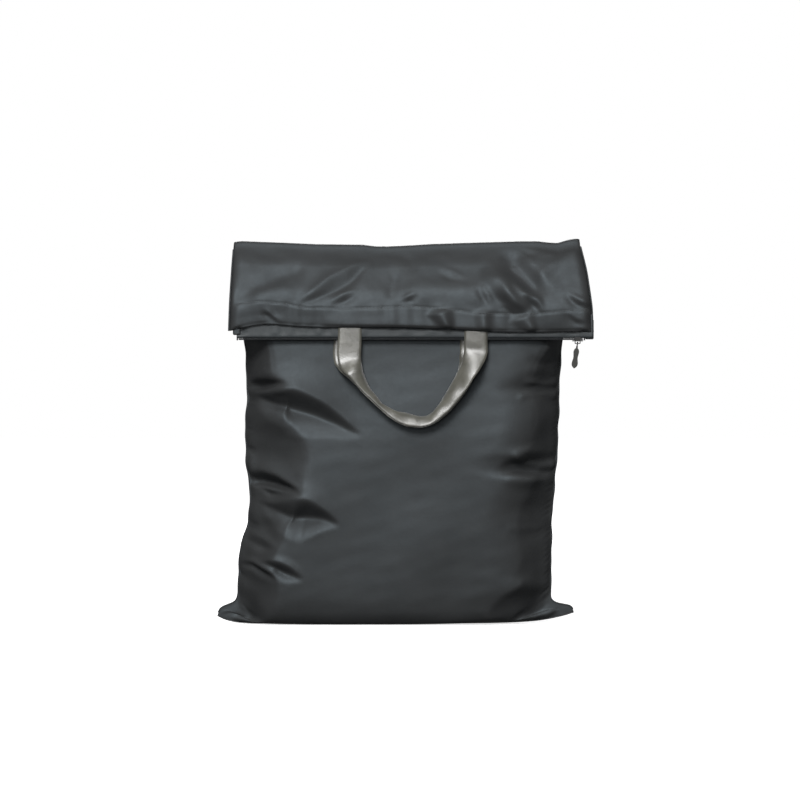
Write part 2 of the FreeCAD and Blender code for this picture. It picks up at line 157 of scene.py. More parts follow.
def fold(x, z, stations, lower=3.5, upper=3.0, proud=1.0, ease=1.7):
    """Height of a crease. Seen from outside with its spine running left to right, the cloth
    above the spine stands proud and the cloth below it sinks, with a steep facet between.
    The stations along the spine are x, z, the crease's width and its height there; lower and upper
    are how many widths it reaches down and up. Proud is the share of the height by which the cloth
    above stands out; ease is how softly the cloth below comes back up."""
    stations = np.array(stations, float)
    along = lengths_along(stations[:, :2])
    along /= along[-1]
    t = np.linspace(0, 1, 60)
    track = np.stack([np.interp(t, along, stations[:, k]) for k in range(4)], axis=1)
    path = smooth_line(track[:, :2], 12)
    width, height = smooth_line(track[:, 2], 4), smooth_line(track[:, 3], 4)
    far_width, far_height = smooth_line(width, 200), smooth_line(height, 200)
    tangent = unit(np.gradient(path, axis=0))
    out = np.zeros(x.shape)
    reach = max(lower, upper) * stations[:, 2].max() + 6
    low, high = path.min(0) - reach, path.max(0) + reach
    near = (x > low[0]) & (x < high[0]) & (z > low[1]) & (z < high[1])
    px, pz = x[near], z[near]
    dx = px[:, None] - path[None, :, 0]
    dz = pz[:, None] - path[None, :, 1]
    index = np.argmin(dx * dx + dz * dz, axis=1)
    pick = np.arange(len(index))
    dx, dz = dx[pick, index], dz[pick, index]
    side = tangent[index, 0] * dz - tangent[index, 1] * dx
    distance = np.sqrt(dx * dx + dz * dz)
    q = np.copysign(distance, side) / width[index]
    far = smoothstep((np.abs(q) - FACET) / 2)
    far_q = np.copysign(np.maximum(distance / far_width[index], FACET), side)
    q = q + (far_q - q) * far
    size = height[index] + (far_height[index] - height[index]) * far
    below = np.clip((q + lower) / (lower - FACET), 0, 1) ** ease
    above = np.clip((upper - q) / (upper - FACET), 0, 1) ** 1.7
    place = 0.5 + np.clip(q, -FACET, FACET) / (2 * FACET)
    share = smoothstep(place) * 0.4 + place * 0.6
    shape = np.where(q < -FACET, -below, np.where(q > FACET, proud * above, share * (1 + proud) - 1))
    out[near] = shape * size
    return out


def pleat(x, z, start, end, reach, widths, height, low=1.8, high=1.8):
    """Height of a straight pleat from start to end. Left of its line (seen along it) the cloth
    stands out, right of it the cloth sinks, or stays if low is 0; the facet between is twice
    the width across."""
    (x0, z0), (x1, z1) = start, end
    length = math.hypot(x1 - x0, z1 - z0)
    tx, tz = (x1 - x0) / length, (z1 - z0) / length
    s = ((x - x0) * tx + (z - z0) * tz) / length
    q = (x - x0) * -tz + (z - z0) * tx
    fade = smoothstep((s + reach) / (2 * reach)) * smoothstep((1 + reach - s) / (2 * reach))
    width = np.interp(s, [0, 1], widths)
    t = q / width
    facet = np.sin(np.clip(t, -1, 1) * math.pi / 2)
    above = smoothstep(1 - (t - 1) / high)
    if low == 0:
        return height * np.where(t > 1, above, (1 + facet) / 2) * fade
    below = smoothstep(1 - (-t - 1) / low)
    return height * np.where(t > 1, above, np.where(t < -1, -below, facet)) * fade


def ridge(x, z, spine, width, height):
    """Height of a soft ridge, or of a hollow if height is negative."""
    path = resample(spine, 40)
    dx = x[..., None] - path[:, 0]
    dz = z[..., None] - path[:, 1]
    distance = np.sqrt((dx * dx + dz * dz).min(-1))
    return height * np.exp(-((distance / width) ** 2))


def crease_heights(x, z, creases):
    """Sum of creases, each a function with its values and, at the end, its options if any."""
    total = np.zeros(x.shape)
    for shape, *values in creases:
        options = values.pop() if isinstance(values[-1], dict) else {}
        total += shape(x, z, *values, **options)
    return total


def blur(grid, passes):
    """Smooths a height grid, edges kept."""
    for _ in range(passes):
        grid[1:-1] = (grid[:-2] + 2 * grid[1:-1] + grid[2:]) / 4
        grid[:, 1:-1] = (grid[:, :-2] + 2 * grid[:, 1:-1] + grid[:, 2:]) / 4
    return grid


def grid_normals(points, outward):
    """Unit normals of a grid of points, turned to the side on which outward lies."""
    across = np.gradient(points, axis=1)
    along = np.gradient(points, axis=0)
    normals = np.cross(across, along)
    normals /= np.maximum(np.linalg.norm(normals, axis=-1), 1e-9)[..., None]
    if (normals * np.array(outward, float)).sum(-1).mean() < 0:
        normals = -normals
    return normals


# ---------- meshes

def new_object(name, verts, faces, material, uv=None):
    mesh = bpy.data.meshes.new(name)
    mesh.from_pydata((np.asarray(verts) / 1000).tolist(), [], faces)
    mesh.validate()
    mesh.polygons.foreach_set("use_smooth", [True] * len(mesh.polygons))
    if uv is not None:
        layer = mesh.uv_layers.new(name="cloth")
        index = np.zeros(len(mesh.loops), int)
        mesh.loops.foreach_get("vertex_index", index)
        layer.data.foreach_set("uv", (np.asarray(uv)[index] / 1000).ravel())
    mesh.materials.append(material)
    obj = bpy.data.objects.new(name, mesh)
    bpy.context.scene.collection.objects.link(obj)
    return obj


def attach(obj, body, slot, *stands_for):
    """Fixes a piece to a body and hides the CAD nodes it stands for. The slot is not used."""
    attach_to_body(obj, body)
    if stands_for:
        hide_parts(*stands_for)


def sheet(name, points, outward, thickness, material, uv):
    """Closed sheet of cloth: the given outer face, an inner face, and a rim round the edge."""
    rows, cols = points.shape[:2]
    normals = grid_normals(points, outward)
    inner = points - normals * thickness
    count = rows * cols
    index = np.arange(count).reshape(rows, cols)
    quads = np.stack(
        [index[:-1, :-1], index[:-1, 1:], index[1:, 1:], index[1:, :-1]], axis=-1
    ).reshape(-1, 4)
    a, b, c = points[0, 0], points[0, 1], points[1, 0]
    flip = np.dot(np.cross(b - a, c - a), normals[0, 0]) < 0
    if flip:
        quads = quads[:, ::-1]
    faces = quads.tolist() + (quads[:, ::-1] + count).tolist()
    loop = np.concatenate([index[0, :-1], index[:-1, -1], index[-1, :0:-1], index[:0:-1, 0]])
    following = np.roll(loop, -1)
    rim = np.stack([following, loop, loop + count, following + count], axis=1)
    if flip:
        rim = rim[:, ::-1]
    faces += rim.tolist()
    verts = np.concatenate([points.reshape(-1, 3), inner.reshape(-1, 3)])
    uv = uv.reshape(-1, 2)
    return new_object(name, verts, faces, material, np.concatenate([uv, uv]))


def tube_rings(path, normal, across, section):
    """Rings of points: section (n, 2) placed on each path point along its normal and across."""
    return path[:, None] + normal[:, None] * section[None, :, :1] + across[:, None] * section[None, :, 1:]


def ring_faces(count, size, first=0):
    """Faces of a closed tube through rings of equal size: its sides, then its two ends."""
    faces = []
    for ring in range(first, first + (count - 1) * size, size):
        for k in range(size):
            m = (k + 1) % size
            faces.append((ring + k, ring + m, ring + size + m, ring + size + k))
    ends = [tuple(range(start, start + size)) for start in (first, first + (count - 1) * size)]
    return faces + [ends[0][::-1], ends[1]]


def skin_rings(name, rings, material, uv=None):
    return new_object(name, rings.reshape(-1, 3), ring_faces(*rings.shape[:2]), material, uv)


def round_section(radius_a, radius_b, count):
    angle = np.linspace(0, 2 * math.pi, count, endpoint=False)
    return np.stack([radius_a * np.cos(angle), radius_b * np.sin(angle)], axis=1)


def cord(name, path, radius, material, up=(0, 1, 0), sides=8):
    """Round cord or wire along a path."""
    tangent = unit(np.gradient(path, axis=0))
    side = unit(np.cross(tangent, up))
    rings = tube_rings(path, side, np.cross(side, tangent), round_section(radius, radius, sides))
    return skin_rings(name, rings, material)


def stitches(name, path, normals, material):
    """A row of single stitches lying on a seam, each a small rounded bar."""
    along = lengths_along(path)
    verts, faces = [], []
    section = round_section(THREAD_R, THREAD_R * 0.8, 6)
    for start in np.arange(STITCH_PITCH, along[-1] - STITCH_PITCH, STITCH_PITCH):
        t = np.linspace(start, start + STITCH_LENGTH, 4)
        line = np.stack([np.interp(t, along, path[:, k]) for k in range(3)], axis=1)
        lift = np.stack([np.interp(t, along, normals[:, k]) for k in range(3)], axis=1)
        line += lift * np.array([[-0.12], [0.16], [0.16], [-0.12]])
        side = unit(np.cross(unit(line[-1] - line[0]), lift))
        rings = tube_rings(line, side, lift, section)
        faces += ring_faces(4, 6, len(verts))
        verts.extend(rings.reshape(-1, 3).tolist())
    return new_object(name, np.array(verts), faces, material)


# ---------- cloth simulation

def project(points, weight, a, b, rest, compress):
    """Moves each pair of cloth points towards its rest distance."""
    gap = points[b] - points[a]
    length = np.sqrt((gap * gap).sum(-1))
    excess = (length - rest) / np.maximum(length, 1e-6)
    excess = np.where(excess > 0, excess, excess * compress)
    share = excess / np.maximum(weight[a] + weight[b], 1e-6)
    move = gap * share[..., None]
    points[a] += move * weight[a][..., None]
    points[b] -= move * weight[b][..., None]


def links(rows, cols, down, right):
    """Slices that pair every cloth point with the one down and right of it."""
    pairs = []
    step = down or right
    for first in range(2 * step):
        if down:
            a = slice(first, rows - down, 2 * step), slice(0, cols - right)
            b = slice(first + step, rows, 2 * step), slice(right, cols)
        else:
            a = slice(None), slice(first, cols - right, 2 * step)
            b = slice(None), slice(first + step, cols, 2 * step)
        pairs.append((a, b))
    return pairs


def distance(points, a, b):
    return np.linalg.norm(points[b] - points[a], axis=-1)


def simulate(points, base, normals, low, high, row_rest, pinned):
    """Position-based cloth. The cloth keeps its woven lengths, resists bending, is pushed out
    by what fills the bag, and stays between low and high above the shape of the contents."""
    rows, cols = points.shape[:2]
    weight = np.where(pinned, 0.0, 1.0)
    springs = []
    for down, right, compress in (
        (0, 1, 1.0), (1, 0, 1.0), (1, 1, 0.35), (0, 2, 0.3), (2, 0, 0.3), (0, 5, 0.12), (5, 0, 0.12),
    ):
        for a, b in links(rows, cols, down, right):
            rest = distance(points, a, b)
            if right == 0:
                rest = np.maximum(rest, row_rest * down)
            springs.append((a, b, rest, compress))
    for _ in range(SIMULATION_STEPS):
        for a, b, rest, compress in springs:
            project(points, weight, a, b, rest, compress)
        points += normals * (PUSH * weight)[..., None]
        height = ((points - base) * normals).sum(-1)
        move = np.clip(height, low, high) - height
        points += normals * (move * weight)[..., None]
    return points


# ---------- body of the bag

JOINT_PLACE = {joint["child"]: joint.get("pos_m") for joint in frame["joints"]}
FOLD_CENTRE = np.array(JOINT_PLACE["mouth_flap"]) * 1000
FOLD_START = math.radians(30)  # where the fold's arc leaves the back panel
OUTER_R, INNER_R = 6.6, 3.0  # radii of the fold's outer and inner layer

# Height of the fold line against its highest point, from left to right.
TOP_DIP = [(-190, -2.5), (-178, -2.7), (-120, -4.9), (-92, -6.2), (-42, -6.8), (-29, -8.5), (-16, -8.6),
           (2, -7.8), (28, -6.2), (59, -5.1), (90, -4.2), (125, -3.2), (142, -3.2), (153, -4.5), (163, -5),
           (172, -2.2), (184, 0.4), (195, 0.4)]


def top_dip(x):
    """How far the fold line lies below its highest point."""
    return read_table(TOP_DIP, x)


def slice_panel(z):
    """Half depth, left and right of the CAD body at one height."""
    mesh = frame["nodes"]["front_panel"].data
    if not hasattr(slice_panel, "edges"):
        co = np.zeros(len(mesh.vertices) * 3)
        mesh.vertices.foreach_get("co", co)
        ends = np.zeros(len(mesh.edges) * 2, int)
        mesh.edges.foreach_get("vertices", ends)
        slice_panel.co, slice_panel.edges = co.reshape(-1, 3) * 1000, ends.reshape(-1, 2)
    a, b = (slice_panel.co[slice_panel.edges[:, k]] for k in (0, 1))
    hit = (a[:, 2] - z) * (b[:, 2] - z) < 0
    a, b = a[hit], b[hit]
    p = a + (b - a) * ((z - a[:, 2]) / (b[:, 2] - a[:, 2]))[:, None]
    sides = p[p[:, 1] < -2] if z < 30 else p
    return -p[:, 1].min(), sides[:, 0].min(), sides[:, 0].max()


# Heights at which the CAD body is measured.
LEVELS = [0.6, 3, 6, 10, 15, 22, 31, 45, 60, 85, 105, 125, 145, 170, 200, 225, 250, 270, 300, 335,
          365, 392]
BOTTOM_SEAM = (0.6, 0.0, -168.0, 149.0)  # height, half depth, left and right
# Share of the CAD body's depth that the shown cloth fills, by height.
DEPTH_SHARE = [(0, 0.8), (45, 0.835), (100, 0.875), (150, 0.91), (195, 0.95), (210, 0.935), (265, 0.96),
               (300, 1.09), (325, 1.06), (345, 0.97)]


def body_profile():
    """Height, half depth, left and right from the bottom seam up to the fold."""
    rows = [BOTTOM_SEAM]
    for z in LEVELS:
        depth, left, right = slice_panel(z)
        rows.append((z, depth * read_table(DEPTH_SHARE, z), left, right))
    top_z = FOLD_CENTRE[2] + OUTER_R * math.sin(FOLD_START)
    top_left, top_right = box_mm("flap_outer_layer")[0][0] + 3.2, rows[-1][3] + 1.2
    rows.append((top_z, 1.7, top_left, top_right))
    return np.array(rows)


def seam_wave(z, side):
    """Small sideways and fore-and-aft wander of a side seam."""
    swing = np.sin(z / 7.3 + side) + 0.7 * np.sin(z / 4.1 + 2.2 * side) + 0.8 * np.sin(z / 17.0 - side)
    fade = smoothstep((z - 30) / 30) * (1 - smoothstep((z - 350) / 40))
    return 0.45 * swing * fade, 0.9 * np.roll(swing, 2) * fade


# Distance from a side seam over which the cloth rises to its full depth, by height.
LEFT_RISE = [(0, 34), (30, 44), (45, 44), (52, 40), (60, 34), (72, 36), (89, 39), (100, 41), (107, 42),
             (116, 43), (126, 50), (136, 60), (146, 61), (157, 64), (171, 68), (184, 68), (194, 64),
             (205, 54), (215, 44), (224, 38), (236, 40), (248, 46), (256, 40), (264, 28), (285, 25),
             (400, 22)]
RIGHT_RISE = [(0, 70), (9, 68), (19, 64), (30, 54), (36, 42), (40, 33.5), (47, 32), (52, 35.5), (70, 34),
              (87, 35), (104, 38), (116, 38), (127, 35.5), (134, 31), (144, 27), (154, 22.5), (159, 60),
              (165, 64.5), (170, 60), (174.5, 57), (179, 40), (189, 31), (199, 27), (207, 24.5), (217, 23),
              (227, 23), (238, 27.5), (246, 37), (255, 30.5), (269, 27), (283, 19.5), (293, 15), (400, 15)]
BACK_LEFT_RISE = [(0, 30), (60, 42), (110, 64), (150, 48), (200, 60), (250, 50), (290, 26), (400, 20)]
BACK_RIGHT_RISE = [(0, 26), (60, 46), (120, 48), (170, 70), (210, 52), (260, 44), (300, 24), (400, 18)]


def rise(distance_in, reach, power):
    """Share of the full depth at a distance in from a seam."""
    return 1 - np.clip(1 - np.clip(distance_in, 0, None) / reach, 0, 1) ** power


def lookup(table, z):
    """Value of a table whose corners are rounded off."""
    table = np.array(table, float)
    dense = np.arange(table[0, 0], table[-1, 0] + 1)
    return np.interp(z, dense, smooth_line(read_table(table, dense), 8))


# Share of the depth by which the front has already turned away where the right facet starts.
RIGHT_TURN = [(0, 0.07), (34, 0.07), (50, 0.17), (112, 0.2), (124, 0.25), (150, 0.25), (158, 0.07),
              (181, 0.07), (189, 0.25), (254, 0.25), (268, 0.1), (400, 0.07)]
TURN_REACH = 38


def front_fullness(z, from_left, from_right):
    """Share of the full depth over the front, with one long facet at the right."""
    edge = lookup(RIGHT_RISE, z)
    turning = 1 - lookup(RIGHT_TURN, z) * np.clip((edge + TURN_REACH - from_right) / TURN_REACH, 0, 1) ** 2
    return rise(from_left, lookup(LEFT_RISE, z), 1.15) * rise(from_right, edge, 1.0) * turning


def back_fullness(z, from_left, from_right):
    return rise(from_left, lookup(BACK_LEFT_RISE, z), 1.7) * rise(from_right, lookup(BACK_RIGHT_RISE, z), 1.7)


# Side seams near the floor: share of the way up, height, and x beyond the body's own side.
LEFT_CORNER = [(0, 9.0, -23.5), (0.02, 17.0, -19.6), (0.055, 23.5, -2.5), (0.075, 31.0, 0.0)]
RIGHT_CORNER = [(0, 12.5, 26.5), (0.015, 19.0, 24.0), (0.045, 22.0, 6.0), (0.058, 26.5, 0.0)]


def body_base(back):
    """Filled shape of one panel as a grid of points: rows from the bottom seam to the fold,
    columns from the left seam to the right seam."""
    profile = body_profile()
    steps = np.hypot(np.diff(profile[:, 0]), np.diff(profile[:, 1]))
    along = np.concatenate([[0], np.cumsum(steps)])
    v = np.linspace(0, 1, BODY_ROWS)
    s = v * along[-1]
    z_mid = smooth_line(np.interp(s, along, profile[:, 0]), 10)
    depth = smooth_line(np.interp(s, along, profile[:, 1]), 40)
    depth *= np.clip(s / 3, 0, 1)

    seams = []
    for corner, column, side in ((LEFT_CORNER, 2, 0.4), (RIGHT_CORNER, 3, 1.9)):
        table = np.array(corner)
        top = table[-1]
        z = np.where(v < top[0], np.interp(v, table[:, 0], table[:, 1]),
                     top[1] + (z_mid[-1] - top[1]) * (v - top[0]) / (1 - top[0]))
        x = np.interp(z, profile[:, 0], profile[:, column]) + np.interp(v, table[:, 0], table[:, 2])
        x, z = smooth_line(x, 3), smooth_line(z, 3)
        wave_x, wave_y = seam_wave(z, side)
        seams.append([c[:, None] for c in (x + wave_x, wave_y, z)])
    (x0, y0, z0), (x1, y1, z1) = seams

    theta = np.linspace(math.pi, 0, 700)
    section = np.stack([155 * np.sign(np.cos(theta)) * np.abs(np.cos(theta)) ** 0.74,
                        46 * np.abs(np.sin(theta)) ** 0.74], axis=1)
    cx = resample(section, BODY_COLUMNS)[:, 0][None, :] / 155
    x = (x0 + x1) / 2 + (x1 - x0) / 2 * cx
    from_left, from_right = x - x0, x1 - x
    low_row = (1 - smoothstep((v - 0.03) / 0.09))[:, None]
    near_left = np.exp(-from_left / (34 - 22 * low_row))
    near_right = np.exp(-from_right / (34 - 2 * low_row))
    z = z_mid[:, None] + (z0 - z_mid[:, None]) * near_left + (z1 - z_mid[:, None]) * near_right
    fullness = blur((back_fullness if back else front_fullness)(z, from_left, from_right), 1)
    top_row = smoothstep((z_mid - 366) / 36)[:, None]
    fullness = fullness * (1 - low_row * (1 - smoothstep((from_left - 10) / 22)))
    fullness = fullness * (1 - low_row * (1 - smoothstep((from_right - 12) / 26)))
    fullness = fullness + (smoothstep(np.minimum(from_left, from_right) / 7) - fullness) * top_row
    if not back:  # the lower right of the front leans back a little
        lower_right = smoothstep((200 - z_mid) / 100)[:, None] * smoothstep((x + 10) / 100)
        fullness = fullness * (1 - 0.085 * lower_right)
    y = (1.0 if back else -1.0) * depth[:, None] * fullness
    y = y + y0 * np.exp(-from_left / 8) + y1 * np.exp(-from_right / 8)
    z = z + top_dip(x) * smoothstep((z - 300) / 95)
    return np.stack([x, y, z], axis=-1)


# Smaller folds of the filled front, in millimetres outwards.
FRONT_CREASES = [
    (fold, [(-162, 253.5, 4, 2), (-150, 255, 5.5, 6), (-134, 256, 3.6, 4.5), (-125, 254.8, 2, 2),
            (-118.5, 253, 0.8, 0)], dict(lower=1.9, upper=4, proud=0.5)),
    (fold, [(-152, 241, 2, 1), (-142, 239, 4.5, 7), (-132, 237.5, 6.3, 11), (-117.5, 238.7, 9, 16),
            (-104.5, 234, 8.3, 15), (-91.5, 229.3, 7.5, 13), (-79.8, 223, 6.5, 10), (-68, 216.5, 4.8, 7),
            (-56.4, 208, 2.8, 3.5), (-42, 199.4, 0.8, 0)],
     dict(lower=5.0, upper=6, proud=0.5, ease=1.15)),
    (fold, [(-166, 155, 6, 4.5), (-147, 156, 6.3, 9), (-133, 152.5, 5.5, 10), (-122.7, 148, 3.8, 8),
            (-112.3, 143.5, 2.5, 4), (-105, 137, 0.8, 0)], dict(lower=2.0, upper=5, proud=0.4)),
    (fold, [(-152, 146, 1.5, 0), (-138, 140, 3, 3.6), (-120, 137, 0.8, 0)],
     dict(lower=2.2, upper=2, proud=0.6)),
    (fold, [(-146, 127.3, 1.5, 1), (-133, 124, 3.5, 5.5), (-122.7, 122.3, 6.5, 11.5),
            (-112.3, 122, 8.8, 15), (-101.9, 123, 9.5, 16), (-94, 120.7, 8, 13.5),
            (-83.7, 117.2, 5.2, 9), (-74.6, 112.3, 2.8, 4.5), (-65.5, 105.8, 0.8, 0)],
     dict(lower=4.6, upper=4.5, proud=0.3, ease=1.15)),
    (ridge, [(-143, 104), (-138, 106)], 7, -2.4),
    (fold, [(-163, 92, 4, 1), (-147, 87, 5, 3.2), (-132, 80, 2, 0)], dict(lower=2.5)),
    (fold, [(-150, 66, 1, 1), (-137, 65.4, 3.5, 5), (-128.5, 62.5, 4.6, 7), (-119.4, 58.6, 4.6, 7),
            (-111, 54.2, 3, 4), (-104, 49.2, 0.8, 0)], dict(lower=4, proud=0.5)),
    (fold, [(-168, 65, 2, 2), (-158, 64.5, 2.5, 4), (-147, 58.6, 3.2, 5.5), (-138, 53.5, 2.6, 4),
            (-131.5, 47.8, 0.8, 0)], dict(lower=3, proud=0.6)),
    # right side: light ridges across the long facet, and the foot that spreads on the floor
    (ridge, [(118, 177), (128, 171), (140, 166), (160, 168)], 4, 3.2),
    (ridge, [(112, 155), (126, 151), (136, 153)], 6, 2.0),
    (ridge, [(130, 255), (144, 252), (158, 253)], 3.5, 2.4),
    (ridge, [(124, 240), (138, 245), (160, 241)], 3.5, 2.4),
    (ridge, [(150, 292), (162, 286)], 5, 1.6),
    (ridge, [(136, 277), (150, 274)], 5, -1.6),
    (ridge, [(92, 4.5), (120, 4), (140, 6), (156, 10)], 4.5, 3.4),
    (ridge, [(112, 102), (140, 101)], 4, 0.8),
]
# Folds of the filled back, guessed in the manner of the front.
BACK_CREASES = [
    (fold, [(166, 262, 3, -4), (140, 256, 7, -6), (110, 240, 6, -5), (78, 226, 1, 0)], dict(lower=4)),
    (fold, [(164, 150, 3, -4), (136, 146, 7, -6), (104, 128, 1, 0)], dict(lower=4)),
    (fold, [(-168, 206, 3, 3), (-140, 196, 6, 5), (-100, 196, 5, 4), (-72, 204, 1, 0)], dict(lower=4)),
    (fold, [(-164, 118, 3, 3), (-142, 112, 6, 5), (-112, 94, 1, 0)], dict(lower=4)),
    (fold, [(158, 70, 3, -3), (132, 60, 5, -4), (112, 44, 1, 0)], dict(lower=4)),
    (ridge, [(-60, 300), (20, 180), (30, 60)], 40, 1.6),
]


def body_panel(back):
    """One panel of the filled body: creases laid on its base, then the cloth settled."""
    base = blur(body_base(back), 1)
    outward = (0, 1, 0) if back else (0, -1, 0)
    normals = grid_normals(blur(base.copy(), 12), outward)
    x, z = base[..., 0], base[..., 2]
    creases = crease_heights(x, z, BACK_CREASES if back else FRONT_CREASES)
    seam = np.minimum(x - x[:, :1], x[:, -1:] - x)
    inside = smoothstep(seam / 8) * smoothstep(z / 14)
    creases = blur(creases, 1) * inside
    seed = 3 if back else 5
    ripple = wander(x, z * 0.55, 16, 34, 9, seed) * np.exp(-seam / 20) * 0.55
    ripple += wander(x, z, 90, 200, 8, seed + 20) * 0.8
    ripple += wander(x * 0.5, z, 12, 26, 10, seed + 40) * 0.10
    wanted = creases + ripple * inside
    points = base + normals * wanted[..., None]
    pinned = np.ones(x.shape, bool)
    pinned[1:-1, 1:-1] = False
    woven = np.linalg.norm(np.diff(base, axis=0), axis=-1)
    row_rest = woven[:, 60:-60].mean()
    low, high = wanted - SLACK * inside - 0.2, wanted + SLACK * inside + 0.2
    points = simulate(points, base, normals, low, high, row_rest, pinned)
    points = blur(points, 1)
    side = 1 if back else -1
    points[:, 1:-1, 1] = side * np.maximum(side * points[:, 1:-1, 1], 0.35)
    points[..., 2] = np.maximum(points[..., 2], 0.6)
    return points


def cloth_uv(points):
    """Distances over the cloth in millimetres, across and up."""
    across = np.linalg.norm(np.diff(points, axis=1), axis=-1)
    across = np.concatenate([np.zeros((len(points), 1)), np.cumsum(across, axis=1)], axis=1)
    up = np.linalg.norm(np.diff(points, axis=0), axis=-1).mean(1)
    up = np.concatenate([[0], np.cumsum(up)])
    middle = across - across[:, -1:] / 2
    return np.stack([middle, np.broadcast_to(up[:, None], across.shape)], axis=-1)


def build_body(nylon, binding):
    front, back = body_panel(False), body_panel(True)
    for name, points, outward, node in (
        ("body_front", front, (0, -1, 0), "front_panel"),
        ("body_back", back, (0, 1, 0), "back_panel"),
    ):
        obj = sheet(name, points, outward, LAYER_T, nylon, cloth_uv(points))
        attach(obj, "bag", "nylon_charcoal", node)
    for name, edge, count, lowest in (
        ("left_seam", front[2:, 0], 170, 0),
        ("right_seam", front[2:, -1], 170, 0),
        ("bottom_seam", front[0], 150, 0.8),
    ):
        path = resample(edge, count)
        path[:, 1] = 0
        path[:, 2] = np.maximum(path[:, 2], lowest)
        attach(cord(name, path, BODY_SEAM_R, binding), "bag", "seam_binding", name + "_binding")


# ---------- folded mouth

# Heights of the hem's lower edge and of its stitch line, from left to right.
HEM_EDGE = [(-184, 307.5), (-176, 308), (-168, 311), (-156, 313), (-144, 315.6), (-132, 315), (-112, 312.2),
            (-85, 311), (0, 311.4), (49, 308.9), (88, 306.9), (132, 305.2), (163, 307.4), (184, 307.6),
            (200, 306.5)]
STITCH_LINE = [(-200, 336), (-168, 337), (-150, 338), (-122, 336), (-102, 332), (-60, 331), (-31, 331.5),
               (7, 333.4), (38, 331), (59, 328.5), (80, 326), (120, 325), (142, 326), (163, 328), (200, 331)]


def hem_edge_z(x):
    table = np.array(HEM_EDGE)
    return np.interp(x, table[:, 0], smooth_line(table[:, 1], 1))


def layer_path(radius, hem_y):
    """Side view of one face of a flap layer: round the fold, down the slope, down the hem."""
    low = box_mm("flap_outer_layer")[0]
    hem_top = box_mm("outer_hem_facing")[1][2] + 1
    cy, cz = FOLD_CENTRE[1], FOLD_CENTRE[2]
    dy, dz = hem_y - cy, hem_top - cz
    end = math.atan2(dz, dy) % (2 * math.pi) - math.acos(radius / math.hypot(dy, dz))
    angle = np.linspace(FOLD_START, end, 60)
    arc = np.stack([cy + radius * np.cos(angle), cz + radius * np.sin(angle)], axis=1)
    rest = resample([arc[-1], (hem_y, hem_top), (hem_y, low[2])], 200)
    rest = smooth_line(rest, 380)
    return resample(np.concatenate([arc, rest[1:]]), FLAP_ROWS)


# Folds of the flap's front, in millimetres outwards.
FLAP_CREASES = [
    # left: a hollow above a light lobe, then two slanting folds
    (ridge, [(-180, 339), (-156, 354), (-134, 364), (-112, 371)], 9, -3.0),
    (ridge, [(-150, 342), (-120, 346)], 11, 1.6),
    (fold, [(-108, 337, 2, 0), (-92, 345, 4, 2.8), (-81, 352, 5, 3.6), (-71, 358, 6, 3.8),
            (-58, 365, 5.5, 3.4), (-47, 374, 4, 2.2), (-36, 381, 2, 0)], dict(lower=3.2, upper=4)),
    (fold, [(-76, 336, 2, 0), (-62, 342, 4, 2.6), (-46, 349, 2, 0)], dict(proud=1.2)),
    (fold, [(-2, 338, 1.5, 0), (6, 341, 2.6, 2.2), (16, 346, 1.5, 0)], dict(proud=1.2)),
    (ridge, [(-9, 362), (-12, 346)], 5, -1.6),
    (ridge, [(-30, 398), (0, 392), (10, 376)], 7, -1.6),
    (fold, [(36, 373, 2, 0), (50, 367, 4, 1.6), (66, 360, 2, 0)]),
    (ridge, [(12, 350), (45, 352), (78, 349)], 11, 2.4),
    # right: folds that run down to the hem, with a deep shaded hollow between them
    (pleat, (136, 341), (99, 376), 0.26, (11.5, 15), 8.6, dict(low=1.1, high=1.1)),
    (ridge, [(152, 328), (195, 330)], 15, 3.2),
    (pleat, (121, 335), (108, 352), 0.25, (4, 5), 2.4),
    (ridge, [(117, 353), (128, 345)], 4, 1.8),
    (fold, [(122, 344, 2, 0), (130, 341, 3.5, 3), (137, 337, 4, 4), (143, 329, 2, 1)], dict(proud=1.2)),
    (fold, [(79, 354, 1.5, 0), (82, 349, 2.6, 2.4), (86, 343, 3, 2.8), (91, 332, 1.5, 0)],
     dict(proud=0.8)),
    (fold, [(124, 402, 2, 1), (128, 397, 3, 1.8), (133, 393, 3, 1.6), (142, 390, 1.5, 0)]),
    (ridge, [(136, 399), (154, 389)], 6, 2.2),
    (ridge, [(146, 368), (163, 381), (182, 391)], 7, 2.4),
    (fold, [(170, 348, 1.5, 0), (176, 341, 2.6, 2.6), (182, 337, 3, 3.2), (195, 332, 2.5, 2.6)],
     dict(proud=1.1)),
    (fold, [(168, 329, 1.5, 0), (174, 323, 2, 1.8), (180, 318, 2.2, 1.8), (192, 316, 1.5, 0)]),
    # pleats of the hem, their shaded sides turned right
    (pleat, (-131, 317), (-143, 328), 0.3, (2, 2.6), -2.2),
    (pleat, (50.5, 311), (46.5, 330), 0.12, (2.8, 7.5), 6.6, dict(low=0, high=2.6)),
    (pleat, (88.5, 308), (88, 328), 0.12, (3.8, 4.6), 5.0, dict(low=0, high=3)),
    (pleat, (138, 309), (131, 326), 0.12, (3.2, 6.5), 5.8, dict(low=0, high=3)),
    (pleat, (116, 326), (104, 334), 0.3, (1.6, 1.6), -1.4),
]


